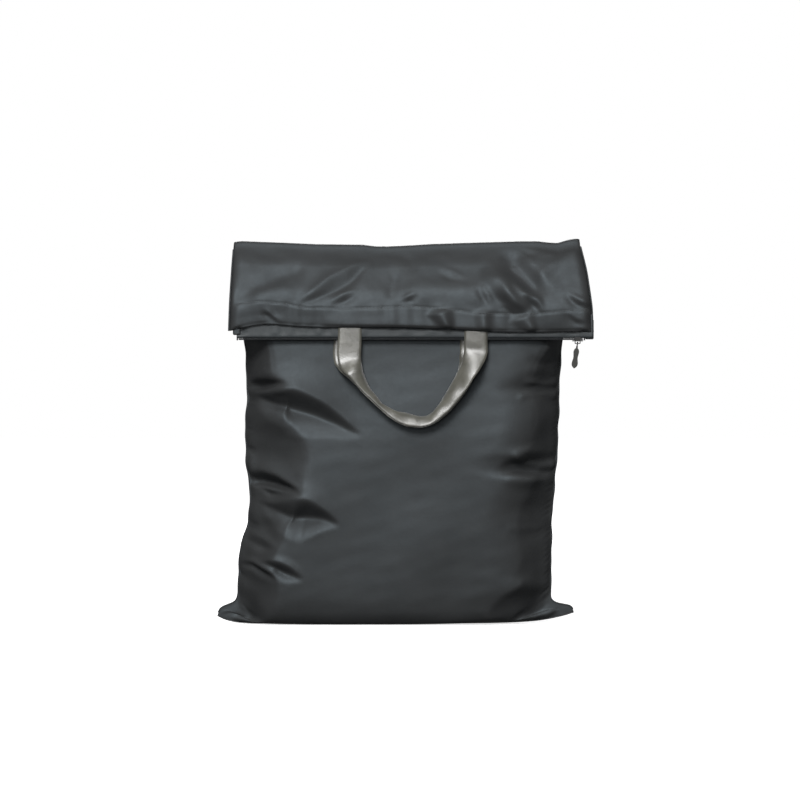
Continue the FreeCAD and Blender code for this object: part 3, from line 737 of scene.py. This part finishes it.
def flap_layer(radius, face_y, slump, t):
    """One face of the folded mouth before its creases, from the back of the fold to the hem.
    Slump is the share by which its slope stands out from a straight drop."""
    low = box_mm("flap_outer_layer")[0]
    path = layer_path(radius, face_y)
    slope = slump * smoothstep((t - 0.12) / 0.25) * (1 - smoothstep((t - 0.62) / 0.3))
    path += np.stack([-7.5 * slope, 2.4 * slope], axis=1)
    y, z = (np.broadcast_to(path[:, k : k + 1], (FLAP_ROWS, FLAP_COLUMNS)).copy() for k in (0, 1))
    left = np.interp(z, [low[2], 400], [low[0], -178])
    right = np.interp(z, [low[2], 333, 370, 400], [197.5, 196.4, 192.0, 186.0])
    x = left + (right - left) * np.linspace(0, 1, FLAP_COLUMNS)
    z += top_dip(x) * (1 - smoothstep((400 - z) / 75))
    z += (hem_edge_z(x) - low[2]) * smoothstep((335 - z) / 24)
    return np.stack([x, y, z], axis=-1)


def flap_faces():
    """Outer and inner faces of the folded mouth, from the back of the fold down to the hem."""
    t = np.linspace(0, 1, FLAP_ROWS)
    outer = flap_layer(OUTER_R, box_mm("flap_outer_layer")[0][1] - 0.4, 1, t)
    inner = flap_layer(INNER_R, box_mm("flap_inner_layer")[0][1] + 0.8, 0, t)
    # the two faces close up towards the side seams
    middle = (outer + inner) / 2
    edge = np.minimum(outer[..., 0] - outer[:, :1, 0], outer[:, -1:, 0] - outer[..., 0])
    opening = np.sqrt(1 - (1 - np.clip(edge / 11, 0, 1)) ** 2)[..., None]
    half_gap = np.maximum(np.linalg.norm((outer - inner) / 2, axis=-1), 1e-6)[..., None]
    opening = np.minimum(np.maximum(opening, 0.75 / half_gap), 1)
    outer = middle + (outer - middle) * opening
    inner = middle + (inner - middle) * opening

    normals = grid_normals(outer, (0, -1, 0.3))
    x, z = outer[..., 0], outer[..., 2]
    front = smoothstep((t - 0.14) / 0.12)[:, None]
    inside = smoothstep(edge / 9)
    height = crease_heights(x, z, FLAP_CREASES) + 0.6 * wander(x, z, 45, 120, 8, 31)
    height += 0.15 * wander(x, z, 12, 28, 10, 32)
    stitch_line = hem_top_line(x)
    groove = -0.5 * np.exp(-(((z - stitch_line) / 1.3) ** 2))
    hem_thick = 0.45 * smoothstep((stitch_line - z) / 1.5)
    height = blur(height, 2) * front * inside
    edge_pucker = 0.35 * np.sin(x / 3.1 + 2 * np.sin(x / 17)) * smoothstep((stitch_line + 8 - z) / 8)
    height += (groove + hem_thick + edge_pucker) * front * inside
    height = np.maximum(height, -2.5 - 5 * smoothstep((t - 0.2) / 0.08)[:, None])
    outer = outer + normals * height[..., None]

    # the hem leans forward at both sides and covers the sewn ends of the front handle
    strap_cover = box_mm("outer_handle_ends")[0][1] - 1.2
    above_edge = z - z[-1:]
    lean = 3.0 * smoothstep((-50 - x) / 40) + 2.6 * smoothstep((x - 72) / 30)
    lean = lean * np.clip(1 - above_edge / 22, 0, 1) - 2.0 * smoothstep((28 - above_edge) / 24)
    y = outer[..., 1]
    y += lean * inside
    y += 3.0 * smoothstep((3.2 - above_edge) / 3.2) * inside
    outer[..., 1] = np.where((z < stitch_line) & (edge > 12), np.minimum(y, strap_cover), y)
    ripple = 0.5 * wander(inner[..., 0], inner[..., 2], 30, 90, 8, 33) * inside * front
    inner = inner + normals * ripple[..., None] * 0.6
    return outer, inner


def hem_top_line(x):
    """Height of the hem's stitch line."""
    return lookup(STITCH_LINE, x)


def build_flap(nylon, binding, thread):
    outer, inner = flap_faces()
    for name, points, outward, radius, stands_for in (
        ("flap_front_cloth", outer, (0, -1, 0.3), OUTER_R, ("flap_outer_layer", "outer_hem_facing")),
        ("flap_back_cloth", inner, (0, 1, -0.3), INNER_R, ("flap_inner_layer", "inner_hem_facing")),
    ):
        obj = sheet(name, points, outward, LAYER_T, nylon, cloth_uv(points))
        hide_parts(*stands_for)
        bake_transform(obj)
    for name, column in (("flap_left_seam", 0), ("flap_right_seam", -1)):
        path = resample(((outer + inner) / 2)[14:, column], 90)
        obj = cord(name, path, FLAP_SEAM_R, binding, up=(1, 0, 0))
        attach(obj, "mouth_flap", "seam_binding", name + "_binding")
    normals = grid_normals(outer, (0, -1, 0.3))
    rows = np.abs(outer[..., 2] - hem_top_line(outer[..., 0]))
    rows[: len(rows) // 2] = 1e9
    pick = rows.argmin(0)
    columns = np.arange(FLAP_COLUMNS)
    path, lift = outer[pick, columns], normals[pick, columns]
    path[:, 2] = smooth_line(hem_top_line(path[:, 0]), 1)
    attach(stitches("hem_stitches", path[2:-2], lift[2:-2], thread), "mouth_flap", "thread")


# ---------- zip

def zip_wave(x):
    return 0.5 * np.sin(x / 19.0) + 0.35 * np.sin(x / 8.3 + 1)


def build_zip_tape(name, node, side, material):
    """Woven tape: hangs from the hem, then turns in to the coil it carries."""
    low, high = box_mm(node)
    zip_y = (box_mm("zip_tape_outer")[0][1] + box_mm("zip_tape_inner")[1][1]) / 2
    outer_y = abs((low[1] if side < 0 else high[1]) - zip_y)
    bend = [(outer_y, high[2]), (outer_y, low[2] + 2.4), (outer_y - 0.6, low[2] + 0.8),
            (outer_y - 2.0, low[2] + 0.05), (0.5, low[2])]
    path = rounded(bend, 30, 14)
    x = np.linspace(low[0], high[0] + 8, 241)
    pucker = wander(x, x * 0, 9, 26, 9, 51 if side < 0 else 52)
    points = np.zeros((len(path), len(x), 3))
    hang = smoothstep((path[:, 1] - low[2] - 1.5) / 5) * (1 - smoothstep((path[:, 1] - low[2] - 14) / 6))
    points[..., 0] = x
    points[..., 1] = zip_y + side * (path[:, :1] + 0.42 * pucker * hang[:, None] - 0.1)
    points[..., 2] = path[:, 1:] + 0.4 * zip_wave(x) * smoothstep((path[:, 1:] - low[2]) / 3)
    points[..., 1] -= side * 2.6 * smoothstep((-156 - x) / 14) * hang[:, None]
    obj = sheet(name, points, (0, side, 0), TAPE_T, material, cloth_uv(points))
    attach(obj, "mouth_flap", "zip_tape", node)


def build_coil(name, node, side, material):
    """A row of coil teeth: one filament wound along the tape's edge, each turn with a flat head."""
    low, high = box_mm(node)
    pitch, wire = 1.2, 0.4
    turns = int((high[0] - low[0] - 1) / pitch)
    per_turn = 14
    t = np.arange(turns * per_turn) / per_turn
    angle = 2 * math.pi * t
    ry, rz = (high[1:] - low[1:]) / 2 - wire
    centre_y, centre_z = (low[1:] + high[1:]) / 2
    lean = 0.35 * np.sin(angle)
    path = np.stack([
        low[0] + 0.8 + pitch * (t - 0.25 * side) + 0.5 * lean,
        centre_y + side * ry * np.sign(np.cos(angle)) * np.abs(np.cos(angle)) ** 0.7,
        centre_z + rz * np.sign(np.sin(angle)) * np.abs(np.sin(angle)) ** 0.8,
    ], axis=1)
    obj = cord(name, path, wire, material, up=(1, 0.02, 0.01), sides=5)
    attach(obj, "mouth_flap", "zip_coil", node)


def build_end_tab(name, node, material):
    """Folded fabric tab over one end of the zip."""
    low, high = box_mm(node)
    if low[0] < 0:
        low += (4, 0.6, 4.5)
        high += (4, -0.6, -1)
    else:
        low += (0, 2.6, 0)
        high += (1, -1.4, -6)
    centre, half = (low + high) / 2, (high - low) / 2
    rows, size = 26, 28
    z = np.linspace(low[2], high[2], rows)
    angle = np.linspace(0, 2 * math.pi, size, endpoint=False)
    c, s = np.cos(angle), np.sin(angle)
    rings = np.zeros((rows, size, 3))
    for r in range(rows):
        t = (z[r] - low[2]) / (high[2] - low[2])
        grow = (1 - (1 - min(t / 0.09, 1)) ** 2) ** 0.5 * 0.22 + 0.78
        crush = 1 + 0.03 * math.sin(9 * t + centre[0])
        rings[r, :, 0] = centre[0] + half[0] * grow * np.sign(c) * np.abs(c) ** 0.45
        rings[r, :, 1] = centre[1] + half[1] * grow * crush * np.sign(s) * np.abs(s) ** 0.5
        rings[r, :, 2] = z[r]
    attach(skin_rings(name, rings, material), "mouth_flap", "nylon_charcoal", node)


# ---------- handles

# Stations along the webbing: its outer edge, x and z, then its inner edge, x and z, in millimetres.
LOOP_EDGES = [
    (-67.6, 322, -42.6, 322), (-67.6, 308, -42.6, 308), (-68, 297, -42.8, 298), (-69, 285, -43.2, 288),
    (-67.8, 273, -43.3, 283.5), (-64.3, 265.9, -43.0, 277), (-53, 253.8, -41.1, 265),
    (-40, 240.6, -33.7, 247), (-26.8, 228.5, -23.3, 232.3), (-15.6, 218.2, -11.4, 223.3),
    (-6.2, 211.6, 0.2, 224), (5, 207, 8.2, 222.1), (18.1, 206, 17.2, 219.5), (29.3, 208.8, 24.7, 220),
    (38.7, 214.4, 31.6, 224.2), (49.9, 223.8, 38.9, 234.7), (61.2, 236.9, 46.9, 248.3),
    (70.5, 250, 54, 261), (79.9, 265, 60.8, 275.5), (85.5, 276.2, 62.9, 284), (88.6, 285.6, 63.4, 290),
    (88.2, 293, 63.4, 296), (88.2, 301, 63.4, 302), (88.2, 308, 63.4, 308), (88.2, 322, 63.4, 322),
]
CHORD, REACH = 23.5, 13.5  # webbing width to fill, and the most that one edge comes forward


def loop_edges(strap_y, rest_y, shift, nest):
    """Both edges of one handle in space. The part that hangs free turns its flat side up."""
    stations = rounded(LOOP_EDGES, LOOP_STATIONS, 60)
    outer2, inner2 = stations[:, :2], stations[:, 2:]
    gap = outer2 - inner2
    narrow = smoothstep((286 - (outer2[:, 1:] + inner2[:, 1:]) / 2) / 26)
    gap_unit = unit(gap)
    outer2 = outer2 - gap_unit * (0.3 + 1.9 * narrow)
    inner2 = inner2 + gap_unit * (0.3 + 0.4 * narrow)
    seen = np.linalg.norm(outer2 - inner2, axis=1)
    mid_z = (outer2[:, 1] + inner2[:, 1]) / 2
    free = smoothstep((292 - mid_z) / 60)
    twist = smooth_line(np.sqrt(np.maximum(CHORD ** 2 - np.minimum(seen, CHORD) ** 2, 0)), 60)
    twist = np.minimum(twist, REACH)
    right = smoothstep(((outer2[:, 0] + inner2[:, 0]) / 2 - 10) / 40)
    bow = (0.6 + 1.4 * right) * smoothstep((310 - mid_z) / 28) * (1 - smoothstep((286 - mid_z) / 36))
    inner_y = strap_y + (rest_y - strap_y) * free + bow
    outer_y = inner_y - twist
    outer = np.stack([outer2[:, 0], outer_y, outer2[:, 1]], axis=1)
    inner = np.stack([inner2[:, 0], inner_y, inner2[:, 1]], axis=1)
    across = unit(outer - inner)
    along = unit(np.gradient((outer + inner) / 2, axis=0))
    face = np.cross(along, across)
    face *= np.where(face[:, 1:2] < 0, -1, 1)
    back = nest * smoothstep((292 - mid_z) / 40)[:, None]
    moved = face * back
    moved[:, 0] += shift * (1 - smoothstep((284 - mid_z) / 30))
    return outer + moved, inner + moved


def webbing(name, outer, inner, material, thickness, cup):
    """Flat woven strap between two edges, slightly cupped where it turns."""
    count, width_points = len(outer), 11
    w = np.linspace(0, 1, width_points)
    along = unit(np.gradient((outer + inner) / 2, axis=0))
    across = inner - outer
    width = np.linalg.norm(across, axis=1)
    normal = unit(np.cross(along, across))
    full = np.clip((24.9 - width) / 3, 0, 1)
    place = np.linspace(0, 1, count)[:, None]
    crumple = 1 + 0.5 * np.sin(place * 47 + 1) * np.sin(place * 19)
    sag = cup * crumple * full[:, None] * np.sin(math.pi * w)[None, :]
    middle = outer[:, None] + across[:, None] * w[None, :, None]
    middle = middle + normal[:, None] * sag[..., None]
    half = thickness / 2 * np.sqrt(np.maximum(1 - (2 * w - 1) ** 14, 0.12))
    front = middle + normal[:, None] * half[None, :, None]
    back = middle - normal[:, None] * half[None, :, None]
    rings = np.concatenate([front, back[:, ::-1]], axis=1)
    length = lengths_along((outer + inner) / 2)
    across_mm = np.concatenate([w, w[::-1]]) * WEB_W
    uv = np.stack(np.broadcast_arrays(across_mm[None, :], length[:, None]), axis=-1).reshape(-1, 2)
    return skin_rings(name, rings, material, uv)


def build_handles(web):
    for name, body, node, ends, rest_y, shift, nest in (
        ("handle_front", "outer_handle", "outer_handle_loop", "outer_handle_ends", -50.2, 0.0, 0.0),
        ("handle_back", "inner_handle", "inner_handle_loop", "inner_handle_ends", -48.8, -4.4, 1.6),
    ):
        low, high = box_mm(ends)
        strap_y = (low[1] + high[1]) / 2
        outer, inner = loop_edges(strap_y, rest_y, shift, nest)
        keep = outer[:, 2] < high[2] - 2
        outer, inner = outer[keep], inner[keep]
        obj = webbing(name, outer, inner, web, WEB_T, 3.0)
        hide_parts(node, ends)
        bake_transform(obj)


# ---------- materials

def material(name):
    """New material, its nodes and its shader."""
    mat = bpy.data.materials.new(name)
    mat.use_nodes = True
    return mat, mat.node_tree.nodes, mat.node_tree.nodes["Principled BSDF"]


def plug(made, **inputs):
    """Sets or links inputs of a shader node; an underscore stands for a space in a name."""
    for key, value in inputs.items():
        socket = made.inputs[key.replace("_", " ")]
        if isinstance(value, bpy.types.NodeSocket):
            made.id_data.links.new(value, socket)
        else:
            socket.default_value = value


def node(nodes, kind, **values):
    """New shader node with its settings and inputs."""
    made = nodes.new(kind)
    for key, value in values.items():
        if hasattr(made, key):
            setattr(made, key, value)
        else:
            plug(made, **{key: value})
    return made


def thread_height(nodes, source, scale, direction):
    """Rounded threads side by side, as a height from 0 to 1."""
    wave = node(nodes, "ShaderNodeTexWave", wave_type="BANDS", bands_direction=direction, Scale=scale,
                Vector=source)
    return wave.outputs["Fac"]


def noise(nodes, source, scale, detail, rough):
    made = node(nodes, "ShaderNodeTexNoise", Scale=scale, Detail=detail, Roughness=rough, Vector=source)
    return made.outputs["Fac"]


def spread(nodes, value, **ends):
    """A value from 0 to 1 spread over another range."""
    return node(nodes, "ShaderNodeMapRange", Value=value, **ends).outputs["Result"]


def bump(nodes, height, strength, depth_mm, **below):
    made = node(nodes, "ShaderNodeBump", Strength=strength, Distance=depth_mm / 1000, Height=height, **below)
    return made.outputs["Normal"]


def blend_colours(nodes, share, dark, light):
    mix = node(nodes, "ShaderNodeMix", data_type="RGBA")
    mix.inputs[6].default_value = (*dark, 1)
    mix.inputs[7].default_value = (*light, 1)
    mix.id_data.links.new(share, mix.inputs[0])
    return mix.outputs[2]


def woven_material(name, dark, light, thread_mm, rough, sheen, bump_mm, crumple_mm,
                   crumple_shade_spread=0.5, crumples=28.0):
    """Plain-woven cloth: two thread directions, soft crumples with painted shade in their hollows and painted
    light on their crests, and a satin sheen.
    """
    mat, nodes, shader = material(name)
    coords = node(nodes, "ShaderNodeTexCoord")
    uv, place = coords.outputs["UV"], coords.outputs["Object"]
    scale = 1000 / thread_mm / 4
    cross = node(nodes, "ShaderNodeMath", operation="MAXIMUM")
    for k, direction in enumerate("XY"):
        cross.id_data.links.new(thread_height(nodes, uv, scale, direction), cross.inputs[k])
    soft = noise(nodes, place, crumples, 3.0, 0.55)
    fine = noise(nodes, place, 240.0, 2.0, 0.5)
    # painted shade and light: the colour follows the crumple height, darker in the hollows and lighter on the
    # crests
    crumple_shade = spread(nodes, soft, From_Min=0.5 - crumple_shade_spread / 2, From_Max=0.5 + crumple_shade_spread / 2)
    crumpled = bump(nodes, soft, 0.35, crumple_mm)
    grained = bump(nodes, fine, 0.25, 0.3, Normal=crumpled)
    plug(shader, Base_Color=blend_colours(nodes, crumple_shade, dark, light),
         Normal=bump(nodes, cross.outputs["Value"], 0.5, bump_mm, Normal=grained),
         Roughness=spread(nodes, fine, To_Min=rough - 0.06, To_Max=rough + 0.06),
         Sheen_Weight=sheen, Sheen_Roughness=0.4)
    return mat, shader


def nylon_material():
    mat, shader = woven_material("nylon_charcoal", (0.030, 0.030, 0.030), (0.038, 0.038, 0.038),
                                 0.42, 0.57, 0.0, 0.05, 0.3)
    plug(shader, Specular_IOR_Level=0.5, Specular_Tint=(0.74, 0.90, 1.0, 1))
    return mat


def tape_material():
    return woven_material("zip_tape", (0.036, 0.042, 0.045), (0.052, 0.060, 0.064),
                          0.8, 0.6, 0.1, 0.12, 0.5)[0]


def binding_material():
    return woven_material("seam_binding", (0.022, 0.025, 0.027), (0.032, 0.036, 0.038),
                          0.6, 0.6, 0.05, 0.1, 0.3)[0]


def webbing_material():
    mat, shader = woven_material("webbing_satin", (0.075, 0.073, 0.059), (0.125, 0.122, 0.100),
                                 1.0, 0.4, 0.3, 0.12, 1.5, crumple_shade_spread=0.35, crumples=70.0)
    plug(shader, Specular_IOR_Level=0.9, IOR=1.75)
    return mat


def thread_material():
    return woven_material("thread", (0.045, 0.05, 0.053), (0.07, 0.078, 0.08),
                          0.3, 0.6, 0.3, 0.05, 0.1)[0]


def speckled_material(name, colour, rough, metallic, grain, bump_mm):
    """Moulded or painted surface with a fine grain and slight colour and gloss variation."""
    mat, nodes, shader = material(name)
    grains = noise(nodes, node(nodes, "ShaderNodeTexCoord").outputs["Object"], grain, 4.0, 0.6)
    dark, light = ([c * share for c in colour] for share in (0.75, 1.25))
    plug(shader, Base_Color=blend_colours(nodes, grains, dark, light), Metallic=metallic,
         Roughness=spread(nodes, grains, To_Min=rough - 0.08, To_Max=rough + 0.08),
         Normal=bump(nodes, grains, 0.3, bump_mm))
    return mat


def coil_material():
    return speckled_material("zip_coil", (0.03, 0.033, 0.036), 0.4, 0.0, 900, 0.05)


def metal_material():
    return speckled_material("zip_metal", (0.014, 0.014, 0.014), 0.5, 0.1, 700, 0.04)


def pull_material():
    return speckled_material("pull_moulding", (0.026, 0.026, 0.023), 0.55, 0.0, 1200, 0.06)


def dress_cad_nodes(finishes):
    """CAD nodes that are shown as they are, each with its finish and softened edges."""
    for slot, finish, names in finishes:
        for name in names:
            obj = frame["nodes"][name]
            obj.data.materials.clear()
            obj.data.materials.append(finish)
            bevel = obj.modifiers.new("soft_edges", "BEVEL")
            bevel.width, bevel.segments, bevel.limit_method = SOFT_EDGE, 2, "ANGLE"


# ---------- studio

def area_light(name, place, target, size, power):
    data = bpy.data.lights.new(name, "AREA")
    data.shape, data.size, data.size_y = "RECTANGLE", size[0], size[1]
    data.energy = power
    obj = bpy.data.objects.new(name, data)
    bpy.context.scene.collection.objects.link(obj)
    obj.location = place
    direction = np.array(target) - np.array(place)
    obj.rotation_euler = Vector(direction).to_track_quat("-Z", "Y").to_euler()


def build_floor():
    """Pale floor that glows a little more with distance, so that it has no horizon."""
    mat, nodes, shader = material("studio_white")
    away = node(nodes, "ShaderNodeVectorMath", operation="LENGTH")
    away.id_data.links.new(node(nodes, "ShaderNodeTexCoord").outputs["Object"], away.inputs[0])
    glow = spread(nodes, away.outputs["Value"], From_Min=0.4, From_Max=1.6, To_Min=0.7, To_Max=1.1)
    plug(shader, Base_Color=(0.9, 0.9, 0.9, 1), Roughness=0.9, Emission_Color=(1, 1, 1, 1),
         Emission_Strength=glow)
    angle = np.linspace(0, 2 * math.pi, 64, endpoint=False)
    verts = np.stack([FLOOR_R * np.cos(angle), FLOOR_R * np.sin(angle), angle * 0], axis=1)
    floor = new_object("floor", verts, [tuple(range(64))], mat)
    floor.visible_diffuse = False
    floor.visible_glossy = False


def build_room():
    """White room that lights the bag only faintly."""
    world = bpy.data.worlds.new("studio")
    bpy.context.scene.world = world
    world.use_nodes = True
    nodes = world.node_tree.nodes
    seen = node(nodes, "ShaderNodeLightPath").outputs["Is Camera Ray"]
    plug(nodes["Background"], Color=(1, 1, 1, 1), Strength=spread(nodes, seen, To_Min=0.09, To_Max=1.0))
    bpy.context.scene.view_settings.view_transform = "Standard"


def build_lights():
    """Soft light from the front and above, and one for the back."""
    area_light("key", (-0.5, -2.6, 1.85), (0, 0, 0.3), (1.0, 1.0), 78)
    area_light("front", (-0.3, -3.0, 0.6), (0, 0, 0.25), (0.9, 0.7), 14)
    area_light("top", (-0.1, -1.2, 2.4), (0, 0, 0.25), (1.2, 1.0), 18)
    area_light("back", (-0.2, 2.8, 1.7), (0, 0, 0.25), (1.2, 1.0), 40)


def build_camera():
    """Camera straight in front, level with the bag's middle."""
    data = bpy.data.cameras.new("camera")
    camera = bpy.data.objects.new("camera", data)
    bpy.context.scene.collection.objects.link(camera)
    field, away = 0.832, 3.4  # width seen at the bag's front, and the distance to it
    front_y = CAD_BOUNDS[0][1] + 0.005
    camera.location = (CAMERA_PLACE[0], front_y - away, CAMERA_PLACE[1])
    camera.rotation_euler = (math.radians(90), 0, 0)
    data.sensor_width = 36
    data.lens = 36 * away / field
    data.clip_end = 20
    bpy.context.scene.camera = camera


# ---------- assembly

def main():
    nylon, tape, binding = nylon_material(), tape_material(), binding_material()
    web, thread = webbing_material(), thread_material()
    coil, metal, moulding = coil_material(), metal_material(), pull_material()
    build_body(nylon, binding)
    build_flap(nylon, binding, thread)
    build_zip_tape("zip_tape_front", "zip_tape_outer", -1, tape)
    build_zip_tape("zip_tape_back", "zip_tape_inner", 1, tape)
    build_coil("zip_coil_front", "zip_coil_outer", -1, coil)
    build_coil("zip_coil_back", "zip_coil_inner", 1, coil)
    build_end_tab("zip_tab_left", "zip_end_tab_left", nylon)
    build_end_tab("zip_tab_right", "zip_end_tab_right", nylon)
    build_handles(web)
    dress_cad_nodes([
        ("zip_metal", metal,
         ("slider_body", "slider_bridge", "pull_tab", "zip_top_stops", "zip_bottom_stop")),
        ("pull_moulding", moulding, ("pull_grip",)),
        ("thread", thread, ("outer_handle_bartacks", "inner_handle_bartacks")),
    ])
    build_floor()
    build_room()
    build_lights()
    build_camera()


main()
